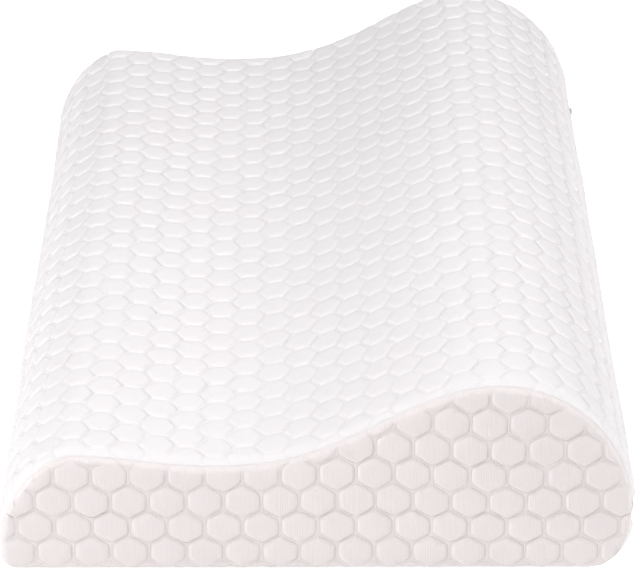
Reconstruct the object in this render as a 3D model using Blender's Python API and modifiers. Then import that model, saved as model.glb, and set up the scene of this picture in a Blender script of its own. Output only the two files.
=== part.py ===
"""Contour bed pillow: a moulded foam core in a thin liner, inside a zipped knitted cover.

The pillow lies flat with its length along Y, its low lobe on the -X side and its high lobe on the
+X side, where the zip is. The origin is under the middle of the pillow. Lengths are in metres.
"""
import math

import bmesh
import bpy
from mathutils import Matrix, Vector

# Overall size of the covered pillow
PILLOW_LENGTH = 0.500
PILLOW_WIDTH = 0.300
LOW_LOBE_HEIGHT = 0.064
VALLEY_HEIGHT = 0.0585
HIGH_LOBE_HEIGHT = 0.100

# Cross-section: the crests and the valley, each measured in from its own long side
LOW_CREST_IN = 0.036
VALLEY_IN = 0.100
HIGH_CREST_IN = 0.065
LOW_SIDE_Z = 0.020            # height at which the low side is widest
HIGH_SIDE_Z = 0.030           # height at which the high side is widest
LOW_CORNER = 0.009            # radius where the low side meets the underside
HIGH_CORNER = 0.020           # how far in the high side's lower corner starts
LOW_NOSE_FULLNESS = 1.65      # 2 is an ellipse, less is nearer to a chamfer
RISE_LAG = 1.3                # above 1, the slope to the high lobe steepens later
SIDE_RISE = 0.5               # how fast the widest heights rise in much smaller sections
SIDE_RISE_FROM = 0.009        # the inset at which they start to rise
LEAST_CORNER = 0.002
SIDE_BLEND = 0.002            # how gently the core's flattened side runs into its curves

# Layers
COVER_THICKNESS = 0.0024
LINER_THICKNESS = 0.0008
GAP = 0.0003                  # between pieces that lie against each other
LAYER_GAP = 0.0008            # between one curved layer and the next

# Ends
END_CROWN = 0.004             # how far each end panel bulges out in its middle
CROWN_REACH_SHARE = 0.30      # of the valley's height, over which the bulge rises
WRAP_END_INSET = 0.0025       # how far the wrap turns in at its end seams
WRAP_TURN_LENGTH = 0.007      # the length over which it turns in
FOAM_EDGE_RADIUS = 0.0169     # rounded end edges of the foam
SEAM_THICKNESS = 0.0016
SEAM_DEPTH = 0.0045

# Zip: a continuous coil zip of the 6 mm size
HEM_CLEARANCE = 0.0018        # between the slider and each hemmed edge of the wrap
HEM_DEPTH = 0.008
TAPE_WIDTH = 0.011            # each tape, from the middle of the zip
TAPE_THICKNESS = 0.0006
COIL_WIDTH = 0.0024           # each coil row
COIL_HEIGHT = 0.0021
COIL_SLIT = 0.0014            # between the two rows, where the slider's post runs
TAPE_END_MARGIN = 0.0005      # from the tapes' ends to the wrap's ends
BARTACK_IN = 0.012            # from the end panels' rims
BARTACK_LENGTH = 0.002
BARTACK_WIDTH = 0.0085
BARTACK_HEIGHT = 0.0011
STOP_CLEARANCE = 0.001        # slider to bartack, with the zip closed

# Slider and pull
SLIDER_LENGTH = 0.013
SLIDER_PLATE = 0.0010
SLIDER_WALL = 0.00075         # each side wall, outside the chain's channel
SLIDER_FLARE = 0.0004         # how much wider each side is at the front
SLIDER_CLEARANCE = 0.00045    # between the slider and the chain that runs through it
POST_CLEARANCE = 0.00035      # between the post and each coil row
POST_LENGTH = 0.0045
BAIL_END_MARGIN = 0.00245     # from the slider's ends to the bail's feet
BAIL_WIDTH = 0.0018
BAIL_THICKNESS = 0.0011
BAIL_SINK = 0.0003            # how far the bail's feet go into the top plate
PULL_THICKNESS = 0.0012
PULL_LENGTH = 0.027
PULL_WIDTH = 0.0070
PULL_CLEARANCE = 0.0003       # round the pull's bar, between the bail and the top plate
EYE_CLEARANCE = 0.0004        # round the bail, inside the pull's eye
EYE_RIM = 0.0015              # the pull's metal on each side of its eye
SLIDER_TO_CORE = 0.0004       # from the slider's back plate to the liner

# How finely the cross-section is divided
NOSE_STEPS = 8
HIGH_CORNER_STEPS = 4
RISE_STEPS = 8
DIP_STEPS = 4
LOW_NOSE_STEPS = 7
CORNER_STEPS = 3
FLOOR_STEPS = 4
TAPE_STEPS = 4
EDGE_STEPS = 3

# What follows from these sizes. Depths are measured in from the wrap's outer face at the zip.
CHANNEL_EDGE = COIL_SLIT / 2 + COIL_WIDTH + SLIDER_CLEARANCE
SLIDER_REAR_WIDTH = 2 * (CHANNEL_EDGE + SLIDER_WALL)
SLIDER_FRONT_WIDTH = SLIDER_REAR_WIDTH + 2 * SLIDER_FLARE
ZIP_OPENING = SLIDER_FRONT_WIDTH + 2 * HEM_CLEARANCE
POST_WIDTH = COIL_SLIT - 2 * POST_CLEARANCE
BAIL_SPAN = SLIDER_LENGTH - 2 * BAIL_END_MARGIN
BAIL_ROOM = PULL_THICKNESS + 2 * PULL_CLEARANCE
BAIL_RADIUS = math.hypot(BAIL_SPAN / 2, BAIL_ROOM / 2 + BAIL_THICKNESS)   # its furthest corner from the hinge
PULL_EYE_WIDTH = BAIL_WIDTH + 2 * EYE_CLEARANCE
PULL_EYE_END = BAIL_RADIUS + EYE_CLEARANCE
PULL_HEAD_WIDTH = PULL_EYE_WIDTH + 2 * EYE_RIM
HEM_THICKNESS = 2 * COVER_THICKNESS
TAPE_DEPTH = HEM_THICKNESS + GAP
TAPE_BACK = TAPE_DEPTH + TAPE_THICKNESS
COIL_BACK = TAPE_DEPTH - GAP
COIL_FRONT = COIL_BACK - COIL_HEIGHT
CHAMBER_FRONT = COIL_FRONT - SLIDER_CLEARANCE
CHAMBER_BACK = TAPE_BACK + SLIDER_CLEARANCE
SLIDER_FRONT = CHAMBER_FRONT - SLIDER_PLATE
SLIDER_BACK = CHAMBER_BACK + SLIDER_PLATE
BAIL_TOP = SLIDER_FRONT - BAIL_ROOM - BAIL_THICKNESS
PULL_DEPTH = SLIDER_FRONT - BAIL_ROOM / 2
LINER_INSET = COVER_THICKNESS + LAYER_GAP
FOAM_INSET = LINER_INSET + LINER_THICKNESS + LAYER_GAP

# The bail stands out past the wrap, and the whole box stays centred on X = 0
BAIL_PROUD = max(-BAIL_TOP, 0.0)
LOW_SIDE_X = -(PILLOW_WIDTH + BAIL_PROUD) / 2
HIGH_SIDE_X = LOW_SIDE_X + PILLOW_WIDTH

# Planes along the length, measured from the middle
PANEL_RIM_Y = PILLOW_LENGTH / 2 - END_CROWN
WRAP_END_Y = PANEL_RIM_Y - COVER_THICKNESS - GAP
LINER_END_Y = PANEL_RIM_Y - COVER_THICKNESS - LAYER_GAP
FOAM_END_Y = LINER_END_Y - LINER_THICKNESS - LAYER_GAP
LINER_EDGE_RADIUS = FOAM_EDGE_RADIUS + LINER_THICKNESS + LAYER_GAP
TAPE_END_Y = WRAP_END_Y - TAPE_END_MARGIN
COIL_END_Y = WRAP_END_Y - WRAP_TURN_LENGTH
BARTACK_Y = PANEL_RIM_Y - BARTACK_IN
SLIDER_Y = BARTACK_Y - BARTACK_LENGTH / 2 - STOP_CLEARANCE - SLIDER_LENGTH / 2


def clear_scene():
    for thing in list(bpy.data.objects):
        bpy.data.objects.remove(thing, do_unlink=True)


def make_collection(name):
    collection = bpy.data.collections.new(name)
    bpy.context.scene.collection.children.link(collection)
    return collection


def make_material(name, colour, roughness, metallic=0.0):
    material = bpy.data.materials.new(name)
    material.use_nodes = True
    shader = material.node_tree.nodes["Principled BSDF"]
    shader.inputs["Base Color"].default_value = (*colour, 1.0)
    shader.inputs["Roughness"].default_value = roughness
    shader.inputs["Metallic"].default_value = metallic
    return material


def add_object(name, data, material):
    """Put a mesh or a curve into the pillow's collection under its part's name."""
    thing = bpy.data.objects.new(name, data)
    thing.data.materials.append(material)
    PARTS.objects.link(thing)
    return thing


def spread(start, end, steps):
    return [start + (end - start) * step / steps for step in range(steps + 1)]


def arc(centre, reach, angles, fullness=2.0):
    """Points (x, z) on an ellipse, or on a superellipse of another fullness."""
    power = 2.0 / fullness
    points = []
    for angle in angles:
        across = math.copysign(abs(math.cos(angle)) ** power, math.cos(angle))
        up = math.copysign(abs(math.sin(angle)) ** power, math.sin(angle))
        points.append((centre[0] + reach[0] * across, centre[1] + reach[1] * up))
    return points


def widest_z(side_z, inset):
    """Height at which a long side is widest, in a section inset by so much."""
    return side_z + SIDE_RISE * max(inset - SIDE_RISE_FROM, 0.0)


def high_nose(inset):
    """Centre and reach of the quarter ellipse from the high side up to the high crest."""
    middle_z = widest_z(HIGH_SIDE_Z, inset)
    reach = (HIGH_CREST_IN - inset, HIGH_LOBE_HEIGHT - inset - middle_z)
    return (HIGH_SIDE_X - HIGH_CREST_IN, middle_z), reach


def high_corner(inset):
    """Centre and reach of the quarter ellipse from the high side down to the underside."""
    middle_z = widest_z(HIGH_SIDE_Z, inset)
    corner = max(HIGH_CORNER - inset, LEAST_CORNER)
    return (HIGH_SIDE_X - inset - corner, middle_z), (corner, middle_z - inset)


def side_angle(reach, offset):
    """The angle on a quarter ellipse of the high side at one height off its middle."""
    return math.asin(offset / reach[1])


def side_point(inset, offset):
    """The point of the high side at one height off the zip's middle."""
    centre, reach = high_nose(inset) if offset > 0 else high_corner(inset)
    return arc(centre, reach, [side_angle(reach, offset)])[0]


def top_height(x, inset):
    """Height of the upper face between the two crests."""
    valley_x = LOW_SIDE_X + VALLEY_IN
    if x < valley_x:
        share = (valley_x - x) / (VALLEY_IN - LOW_CREST_IN)
        lift = LOW_LOBE_HEIGHT - VALLEY_HEIGHT
    else:
        share = ((x - valley_x) / (HIGH_SIDE_X - HIGH_CREST_IN - valley_x)) ** RISE_LAG
        lift = HIGH_LOBE_HEIGHT - VALLEY_HEIGHT
    return VALLEY_HEIGHT - inset + lift * (1 - math.cos(math.pi * share)) / 2


def outline(inset, side_cut=0.0):
    """The cross-section, inset from the wrap's outer face, as (x, z) points.

    It starts at the zip opening's upper edge and runs over the crests, round the low side and
    along the underside to the opening's lower edge. The second point and the last but one are a
    hem away from those edges. side_cut flattens the high side, gently at its edges, to that depth.
    """
    quarter = math.pi / 2
    nose = high_nose(0.0)[1]
    corner = high_corner(0.0)[1]
    hem_offset = ZIP_OPENING / 2 + HEM_DEPTH
    nose_angles = [side_angle(nose, ZIP_OPENING / 2)]
    nose_angles += spread(side_angle(nose, hem_offset), quarter, NOSE_STEPS)
    corner_angles = spread(-quarter, -side_angle(corner, hem_offset), HIGH_CORNER_STEPS)
    corner_angles += [-side_angle(corner, ZIP_OPENING / 2)]
    points = arc(*high_nose(inset), nose_angles)

    high_crest_x = HIGH_SIDE_X - HIGH_CREST_IN
    valley_x = LOW_SIDE_X + VALLEY_IN
    low_crest_x = LOW_SIDE_X + LOW_CREST_IN
    for x in spread(high_crest_x, valley_x, RISE_STEPS)[1:] + spread(valley_x, low_crest_x, DIP_STEPS)[1:-1]:
        points.append((x, top_height(x, inset)))

    low_side_z = widest_z(LOW_SIDE_Z, inset)
    low_reach = (LOW_CREST_IN - inset, LOW_LOBE_HEIGHT - inset - low_side_z)
    low_angles = spread(quarter, 2 * quarter, LOW_NOSE_STEPS)
    points += arc((low_crest_x, low_side_z), low_reach, low_angles, LOW_NOSE_FULLNESS)

    low_corner = max(LOW_CORNER - inset, LEAST_CORNER)
    low_corner_x = LOW_SIDE_X + inset + low_corner
    low_corner_angles = spread(2 * quarter, 3 * quarter, CORNER_STEPS)
    points += arc((low_corner_x, inset + low_corner), (low_corner, low_corner), low_corner_angles)
    for x in spread(low_corner_x, high_corner(inset)[0][0], FLOOR_STEPS)[1:-1]:
        points.append((x, inset))
    points += arc(*high_corner(inset), corner_angles)
    if side_cut:
        limit = HIGH_SIDE_X - side_cut
        points = [(x - SIDE_BLEND * math.log1p(math.exp((x - limit) / SIDE_BLEND)), z) for x, z in points]
    return points


def at(y, points):
    return [Vector((x, y, z)) for x, z in points]


def loft(name, loops, material, closed=False):
    """A solid drawn through loops of points: capped at both ends, or closed into a tube."""
    bm = bmesh.new()
    rings = [[bm.verts.new(point) for point in loop] for loop in loops]
    pairs = list(zip(rings, rings[1:]))
    if closed:
        pairs.append((rings[-1], rings[0]))
    else:
        bm.faces.new(rings[0])
        bm.faces.new(rings[-1])
    for first, second in pairs:
        for i in range(len(first)):
            bm.faces.new((first[i - 1], first[i], second[i], second[i - 1]))
    bmesh.ops.recalc_face_normals(bm, faces=bm.faces)
    mesh = bpy.data.meshes.new(name)
    bm.to_mesh(mesh)
    bm.free()
    thing = add_object(name, mesh, material)
    mesh.shade_smooth()
    mesh.set_sharp_from_angle(angle=math.radians(40))
    return thing


def extrusion(name, outlines, start, end, material):
    """Flat outlines in X and Z, filled and drawn out along Y; an outline within another is a hole."""
    curve = bpy.data.curves.new(name, "CURVE")
    curve.dimensions = "2D"
    curve.fill_mode = "BOTH"
    curve.extrude = (end - start) / 2
    for points in outlines:
        spline = curve.splines.new("POLY")
        spline.points.add(len(points) - 1)
        for point, (x, z) in zip(spline.points, points):
            point.co = (x, z, 0.0, 1.0)
        spline.use_cyclic_u = True
    thing = add_object(name, curve, material)
    thing.rotation_euler.x = math.pi / 2
    thing.location.y = (start + end) / 2
    return thing


def block_mesh(name, low, high):
    """A box between two corners, as a mesh."""
    low = Vector(low)
    high = Vector(high)
    bm = bmesh.new()
    size = Matrix.Diagonal((*(high - low), 1.0))
    bmesh.ops.create_cube(bm, size=1.0, matrix=Matrix.Translation((low + high) / 2) @ size)
    mesh = bpy.data.meshes.new(name)
    bm.to_mesh(mesh)
    bm.free()
    return mesh


def soften(thing, width, segments=2):
    bevel = thing.modifiers.new("softened_edges", "BEVEL")
    bevel.width = width
    bevel.segments = segments
    bevel.limit_method = "ANGLE"


def crown(inset):
    """How far an end panel's face stands out from its rim at one inset."""
    reach = CROWN_REACH_SHARE * VALLEY_HEIGHT
    share = min(max((inset - WRAP_END_INSET) / reach, 0.0), 1.0)
    if share < 0.45:
        return END_CROWN * 0.7 * share / 0.45
    return END_CROWN * (0.7 + 0.3 * (share - 0.45) / 0.55)


def end_panel(name, end, material):
    """A cover end panel: a plate of even thickness that bulges outwards."""
    reach = CROWN_REACH_SHARE * VALLEY_HEIGHT
    insets = [WRAP_END_INSET + reach, WRAP_END_INSET + 0.45 * reach, WRAP_END_INSET]
    outer = [at(end * (PANEL_RIM_Y + crown(inset)), outline(inset)) for inset in insets]
    inner_rim_y = PANEL_RIM_Y - COVER_THICKNESS
    inner = [at(end * (inner_rim_y + crown(inset)), outline(inset)) for inset in reversed(insets)]
    return loft(name, outer + inner, material)


def wrap_stations():
    """The wrap's turned-in near end and far end, as (y, inset)."""
    turn = [(WRAP_END_Y, WRAP_END_INSET), (WRAP_END_Y - 0.4 * WRAP_TURN_LENGTH, 0.35 * WRAP_END_INSET),
            (WRAP_END_Y - WRAP_TURN_LENGTH, 0.0)]
    return [(-y, inset) for y, inset in turn] + [(y, inset) for y, inset in reversed(turn)]


def wrap_section(inset):
    """The wrap's cross-section: a band of one thickness, doubled at its two hemmed edges."""
    outer = outline(inset)
    inner = outline(inset + COVER_THICKNESS)
    hemmed = outline(inset + HEM_THICKNESS)
    inner[:2] = hemmed[:2]
    inner[-2:] = hemmed[-2:]
    return outer + inner[::-1]


def wrap_panel(material):
    return loft("cover_wrap", [at(y, wrap_section(inset)) for y, inset in wrap_stations()], material)


def side_depth(inset, offset):
    """How far in from the widest part of the wrap the high side's point lies."""
    return HIGH_SIDE_X - side_point(inset, offset)[0]


def seam_allowance(name, end, material):
    """The turned-in edges of the wrap and an end panel, overlocked into one ring inside the seam."""
    outer_inset = WRAP_END_INSET + COVER_THICKNESS + GAP
    behind_zip = side_depth(WRAP_END_INSET + TAPE_BACK, -TAPE_WIDTH) + GAP
    start = end * WRAP_END_Y
    finish = end * (WRAP_END_Y - SEAM_DEPTH)
    outer = outline(outer_inset, behind_zip)
    inner = outline(outer_inset + SEAM_THICKNESS, behind_zip + SEAM_THICKNESS)
    loops = [at(start, outer), at(finish, outer), at(finish, inner), at(start, inner)]
    return loft(name, loops, material, closed=True)


def core_side_depth(inset):
    """How far in the core's flattened high side lies, clear of the slider and the tapes."""
    liner_face = max(SLIDER_BACK + SLIDER_TO_CORE, side_depth(TAPE_BACK, -TAPE_WIDTH) + GAP)
    return liner_face + inset - LINER_INSET


def core_edge(end, plane, inset, radius):
    """Loops round a core's end, from its straight side to its face, over the rounded edge."""
    loops = []
    for angle in spread(0.0, math.pi / 2, EDGE_STEPS):
        here = inset + radius * (1 - math.cos(angle))
        y = plane + crown(here) - radius * (1 - math.sin(angle))
        loops.append(at(end * y, outline(here, core_side_depth(here))))
    return loops


def foam_core(material):
    near = core_edge(-1, FOAM_END_Y, FOAM_INSET, FOAM_EDGE_RADIUS)
    far = core_edge(1, FOAM_END_Y, FOAM_INSET, FOAM_EDGE_RADIUS)
    return loft("foam_core", near[::-1] + far, material)


def liner_end(name, end, material):
    """A liner end: a thin cup over the foam's rounded end."""
    outer = core_edge(end, LINER_END_Y, LINER_INSET, LINER_EDGE_RADIUS)
    inner = core_edge(end, LINER_END_Y - LINER_THICKNESS, LINER_INSET + LINER_THICKNESS,
                      LINER_EDGE_RADIUS - LINER_THICKNESS)
    return loft(name, outer[::-1] + inner, material)


def liner_wrap(material):
    """The liner's tube, between its two end cups."""
    half = LINER_END_Y + crown(LINER_INSET) - LINER_EDGE_RADIUS - GAP
    stations = [(-half, LINER_INSET), (half, LINER_INSET),
                (half, LINER_INSET + LINER_THICKNESS), (-half, LINER_INSET + LINER_THICKNESS)]
    loops = [at(y, outline(inset, core_side_depth(inset))) for y, inset in stations]
    return loft("liner_wrap", loops, material, closed=True)


def zip_tape(name, side, material):
    """One tape, following the wrap behind its hemmed edge; side is 1 above and -1 below."""
    offsets = spread(side * COIL_SLIT / 2, side * TAPE_WIDTH, TAPE_STEPS)
    loops = []
    for y, inset in wrap_stations():
        y = math.copysign(min(abs(y), TAPE_END_Y), y)
        front = [side_point(inset + TAPE_DEPTH, offset) for offset in offsets]
        back = [side_point(inset + TAPE_BACK, offset) for offset in offsets]
        loops.append(at(y, front + back[::-1]))
    return loft(name, loops, material)


def zip_coil(name, side, material):
    edges = sorted((HIGH_SIDE_Z + side * COIL_SLIT / 2, HIGH_SIDE_Z + side * (COIL_SLIT / 2 + COIL_WIDTH)))
    low = (HIGH_SIDE_X - COIL_BACK, -COIL_END_Y, edges[0])
    high = (HIGH_SIDE_X - COIL_FRONT, COIL_END_Y, edges[1])
    coil = add_object(name, block_mesh(name, low, high), material)
    soften(coil, 0.25 * COIL_HEIGHT)
    return coil


def zip_bartack(name, end, material):
    """A bar of thread across both coil rows, which stops the slider."""
    back = HIGH_SIDE_X - COIL_FRONT + GAP
    middle = end * BARTACK_Y
    low = (back, middle - BARTACK_LENGTH / 2, HIGH_SIDE_Z - BARTACK_WIDTH / 2)
    high = (back + BARTACK_HEIGHT, middle + BARTACK_LENGTH / 2, HIGH_SIDE_Z + BARTACK_WIDTH / 2)
    bartack = add_object(name, block_mesh(name, low, high), material)
    soften(bartack, 0.3 * BARTACK_HEIGHT)
    return bartack


def cutter(name, low, high):
    """A box that only cuts, kept out of the model."""
    box = bpy.data.objects.new(name, block_mesh(name, low, high))
    box.hide_render = True
    box.display_type = "WIRE"
    CUTTERS.objects.link(box)
    return box


def cut(thing, tool, operation="DIFFERENCE"):
    boolean = thing.modifiers.new(tool.name, "BOOLEAN")
    boolean.operation = operation
    boolean.object = tool


def bail_mesh():
    """The arch on the slider, over the pull's bar, drawn along Y."""
    foot = HIGH_SIDE_X - SLIDER_FRONT - BAIL_SINK
    under = HIGH_SIDE_X - SLIDER_FRONT + BAIL_ROOM
    top = HIGH_SIDE_X - BAIL_TOP
    half = BAIL_SPAN / 2
    inner = half - BAIL_THICKNESS
    shoulder = 0.7 * BAIL_THICKNESS
    side = [(half, foot), (half, top - shoulder), (half - shoulder, top)]
    arch = side + [(-y, x) for y, x in reversed(side)]
    arch += [(-inner, foot), (-inner, under), (inner, under), (inner, foot)]
    bm = bmesh.new()
    face = bm.faces.new([bm.verts.new((x, SLIDER_Y + y, HIGH_SIDE_Z - BAIL_WIDTH / 2)) for y, x in arch])
    drawn = bmesh.ops.extrude_face_region(bm, geom=[face])["geom"]
    lifted = [item for item in drawn if isinstance(item, bmesh.types.BMVert)]
    bmesh.ops.translate(bm, verts=lifted, vec=(0.0, 0.0, BAIL_WIDTH))
    bmesh.ops.recalc_face_normals(bm, faces=bm.faces)
    mesh = bpy.data.meshes.new("bail")
    bm.to_mesh(mesh)
    bm.free()
    return mesh


def zip_slider(material):
    """Two plates round the chain, joined by the post between the coil rows, with a bail on top."""
    rear = SLIDER_Y - SLIDER_LENGTH / 2
    front = SLIDER_Y + SLIDER_LENGTH / 2
    past = SLIDER_LENGTH
    half_width = SLIDER_FRONT_WIDTH / 2
    low = (HIGH_SIDE_X - SLIDER_BACK, rear, HIGH_SIDE_Z - half_width)
    high = (HIGH_SIDE_X - SLIDER_FRONT, front, HIGH_SIDE_Z + half_width)
    mesh = block_mesh("zip_slider", low, high)
    for vert in mesh.vertices:
        if vert.co.y < SLIDER_Y:
            vert.co.z = HIGH_SIDE_Z + math.copysign(SLIDER_REAR_WIDTH / 2, vert.co.z - HIGH_SIDE_Z)
    slider = add_object("zip_slider", mesh, material)
    soften(slider, 0.45 * SLIDER_PLATE)

    chamber_back = HIGH_SIDE_X - CHAMBER_BACK
    chamber_front = HIGH_SIDE_X - CHAMBER_FRONT
    slot_front = HIGH_SIDE_X - TAPE_DEPTH + SLIDER_CLEARANCE
    for name, side in (("upper", 1), ("lower", -1)):
        edges = sorted((HIGH_SIDE_Z + side * POST_WIDTH / 2, HIGH_SIDE_Z + side * CHANNEL_EDGE))
        cut(slider, cutter(name + "_channel", (chamber_back, rear - past, edges[0]),
                           (chamber_front, front + past, edges[1])))
        edges = sorted((HIGH_SIDE_Z + side * POST_WIDTH / 2, HIGH_SIDE_Z + side * past))
        cut(slider, cutter(name + "_tape_slot", (chamber_back, rear - past, edges[0]),
                           (slot_front, front + past, edges[1])))
    cut(slider, cutter("closed_end", (chamber_back, rear - past, HIGH_SIDE_Z - CHANNEL_EDGE),
                       (chamber_front, front - POST_LENGTH, HIGH_SIDE_Z + CHANNEL_EDGE)))
    bail = bpy.data.objects.new("bail", bail_mesh())
    bail.hide_render = True
    bail.display_type = "WIRE"
    CUTTERS.objects.link(bail)
    cut(slider, bail, "UNION")
    return slider


def zip_pull(hinge, material):
    """The pull tab, modelled round its hinge and lying back along the closed chain."""
    bar = PULL_THICKNESS / 2
    neck = PULL_EYE_END + 0.2 * PULL_LENGTH
    tip = PULL_LENGTH - bar
    head_half = PULL_HEAD_WIDTH / 2
    half = PULL_WIDTH / 2
    corner = 0.35 * PULL_WIDTH
    quarter = math.pi / 2
    outer = [(-head_half, -bar), (head_half, -bar), (head_half, PULL_EYE_END), (half, neck)]
    outer += arc((half - corner, tip - corner), (corner, corner), spread(0.0, quarter, CORNER_STEPS))
    outer += arc((corner - half, tip - corner), (corner, corner), spread(quarter, 2 * quarter, CORNER_STEPS))
    outer += [(-half, neck), (-head_half, PULL_EYE_END)]
    eye = PULL_EYE_WIDTH / 2
    hole = [(-eye, bar), (eye, bar), (eye, PULL_EYE_END), (-eye, PULL_EYE_END)]
    pull = extrusion("zip_pull", [outer, hole], -bar, bar, material)
    weld = pull.modifiers.new("weld", "WELD")
    weld.merge_threshold = 0.00001
    soften(pull, 0.25 * PULL_THICKNESS)
    # the outline's width lies along Z, its length along -Y and its thickness along X
    pull.rotation_euler = Matrix(((0, 0, 1), (0, -1, 0), (1, 0, 0))).to_euler()
    pull.location = (0.0, 0.0, 0.0)
    pull.parent = hinge
    return pull


def build():
    knit = make_material("cover_knit", (0.86, 0.84, 0.85), 0.85)
    panel_knit = make_material("end_panel_knit", (0.84, 0.81, 0.81), 0.85)
    thread = make_material("seam_thread", (0.80, 0.77, 0.77), 0.80)
    jersey = make_material("liner_jersey", (0.90, 0.89, 0.87), 0.90)
    foam = make_material("memory_foam", (0.88, 0.83, 0.68), 0.95)
    tape = make_material("zip_tape", (0.85, 0.84, 0.84), 0.80)
    nylon = make_material("coil_nylon", (0.88, 0.87, 0.87), 0.40)
    metal = make_material("slider_metal", (0.72, 0.72, 0.73), 0.30, 1.0)

    foam_core(foam)
    liner_wrap(jersey)
    wrap_panel(knit)
    for place, end in (("near", -1), ("far", 1)):
        liner_end("liner_end_" + place, end, jersey)
        end_panel("cover_end_" + place, end, panel_knit)
        seam_allowance("seam_allowance_" + place, end, thread)
        zip_bartack("zip_bartack_" + place, end, thread)
    for place, side in (("upper", 1), ("lower", -1)):
        zip_tape("zip_tape_" + place, side, tape)
        zip_coil("zip_coil_" + place, side, nylon)
    zip_slider(metal)
    hinge = bpy.data.objects.new("pull_hinge", None)
    hinge.location = (HIGH_SIDE_X - PULL_DEPTH, SLIDER_Y, HIGH_SIDE_Z)
    PARTS.objects.link(hinge)
    zip_pull(hinge, metal)


clear_scene()
PARTS = make_collection("bed_pillow")
CUTTERS = make_collection("cutters")
build()
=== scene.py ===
"""Contour bed pillow: the knitted cover, its zip and the layers inside, made round the fixed frame."""

import math

import bmesh
import bpy
import numpy as np
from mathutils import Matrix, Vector
from mathutils.kdtree import KDTree


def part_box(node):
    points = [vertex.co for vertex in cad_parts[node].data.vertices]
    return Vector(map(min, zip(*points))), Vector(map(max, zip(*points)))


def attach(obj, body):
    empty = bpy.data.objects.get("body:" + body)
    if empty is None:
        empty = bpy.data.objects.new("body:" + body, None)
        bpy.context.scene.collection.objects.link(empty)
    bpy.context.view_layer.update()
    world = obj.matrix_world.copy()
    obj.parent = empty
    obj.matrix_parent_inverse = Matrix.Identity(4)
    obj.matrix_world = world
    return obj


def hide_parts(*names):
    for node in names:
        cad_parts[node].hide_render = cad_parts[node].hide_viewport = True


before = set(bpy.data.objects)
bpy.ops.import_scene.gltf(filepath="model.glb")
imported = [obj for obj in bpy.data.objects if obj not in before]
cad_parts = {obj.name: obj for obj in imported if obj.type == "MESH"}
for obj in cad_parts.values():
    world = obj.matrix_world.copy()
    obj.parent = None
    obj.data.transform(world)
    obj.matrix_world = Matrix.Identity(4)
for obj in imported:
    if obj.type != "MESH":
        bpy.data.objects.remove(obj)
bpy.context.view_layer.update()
MM = 0.001

# The pillow's planes and sides, from the frame
WRAP_LOW, WRAP_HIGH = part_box("cover_wrap")
LOW_X, HIGH_X, TOP_Z = WRAP_LOW.x, WRAP_HIGH.x, WRAP_HIGH.z
WRAP_END = WRAP_HIGH.y
PANEL_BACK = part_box("cover_end_far")[0].y

# The section: the crests and the valley, measured in from their own long sides
LOW_TOP = 64 * MM
VALLEY = 58.5 * MM
LOW_CREST_IN = 36 * MM
VALLEY_IN = 100 * MM
HIGH_CREST_IN = 65 * MM
LOW_WIDEST = 20 * MM
HIGH_WIDEST = 30 * MM
LOW_CORNER = 9 * MM
HIGH_CORNER = 20 * MM
LOW_NOSE_FULLNESS = 1.65
RISE_LAG = 1.3
SIDE_RISE = 0.5
SIDE_RISE_FROM = 9 * MM
LEAST_CORNER = 2 * MM
SIDE_BLEND = 2 * MM

# The slope up to the high lobe, which lies a little fuller at one end
SLOPE_X = 28 * MM
SLOPE_SETTLE = 2.0 * MM

# The layers and the seams
CLOTH = 2.4 * MM
LINER = 0.8 * MM
LAYER_GAP = 0.8 * MM
END_INSET = 2.5 * MM
END_TURN = 7 * MM
CROWN = 4 * MM
CROWN_REACH = 17.5 * MM
OPENING_HALF = 6.5 * MM
HEM_DEPTH = 8 * MM
HEM_STITCH_IN = 6.4 * MM
QUARTER = math.pi / 2

LINER_INSET = CLOTH + LAYER_GAP
FOAM_INSET = LINER_INSET + LINER + LAYER_GAP
LINER_END = PANEL_BACK - LAYER_GAP
FOAM_END = LINER_END - LINER - LAYER_GAP
FOAM_EDGE = 16.9 * MM
CORE_SIDE_IN = 7.55 * MM
CORE_CROWN = 0.3 * CROWN

# The cloth simulation that puffs the cover out over its foam
PUFF_FACE = 6 * MM
PUFF_PRESSURE = 4.0
PUFF_FRAMES = 20

# The zip
TAPE_DEPTH = 2 * CLOTH + 0.3 * MM
TAPE_THICKNESS = 0.6 * MM
COIL_PITCH = 1.5 * MM
COIL_WIRE = 0.33 * MM
COIL_HEAD_IN = 0.5 * MM
STITCH = 3.4 * MM

# The knit: hexagonal bubbles, each BUBBLE_PITCH wide between flats, in rows BUBBLE_ROW apart
BUBBLE_PITCH = 17.6 * MM
BUBBLE_ROW = 13.55 * MM
BUBBLE_FLAT = 8.4 * MM
BUBBLE_TIP = BUBBLE_ROW - BUBBLE_FLAT
BUBBLE_RADIUS = 8.45 * MM
EDGE_PARTS = 4
# each ring of a bubble: how far in from the cell's edge, its height over the cloth's face, how round it is
BUBBLE_RINGS = (
    (0.00 * MM, -0.40 * MM, 0.00),
    (0.45 * MM, -0.92 * MM, 0.03),
    (0.85 * MM, -0.78 * MM, 0.08),
    (1.30 * MM, 0.06 * MM, 0.16),
    (2.40 * MM, 0.44 * MM, 0.28),
    (5.20 * MM, 0.56 * MM, 0.50),
)
BUBBLE_MIDDLE = 0.58 * MM
CHANNEL_DEPTH = 0.92 * MM
BUBBLE_RISE = 1.45 * MM
WRAP_RELIEF = 0.70


# ---- the section

def arc(centre, reach, angles, fullness=2.0):
    """Points (x, z) on an ellipse, or on a superellipse of another fullness."""
    power = 2 / fullness
    across = np.sign(np.cos(angles)) * np.abs(np.cos(angles)) ** power
    up = np.sign(np.sin(angles)) * np.abs(np.sin(angles)) ** power
    return np.column_stack((centre[0] + reach[0] * across, centre[1] + reach[1] * up))


def widest(side_z, inset):
    """The height of a side's widest place, which rises a little in the deeper layers."""
    return side_z + SIDE_RISE * max(inset - SIDE_RISE_FROM, 0.0)


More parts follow.
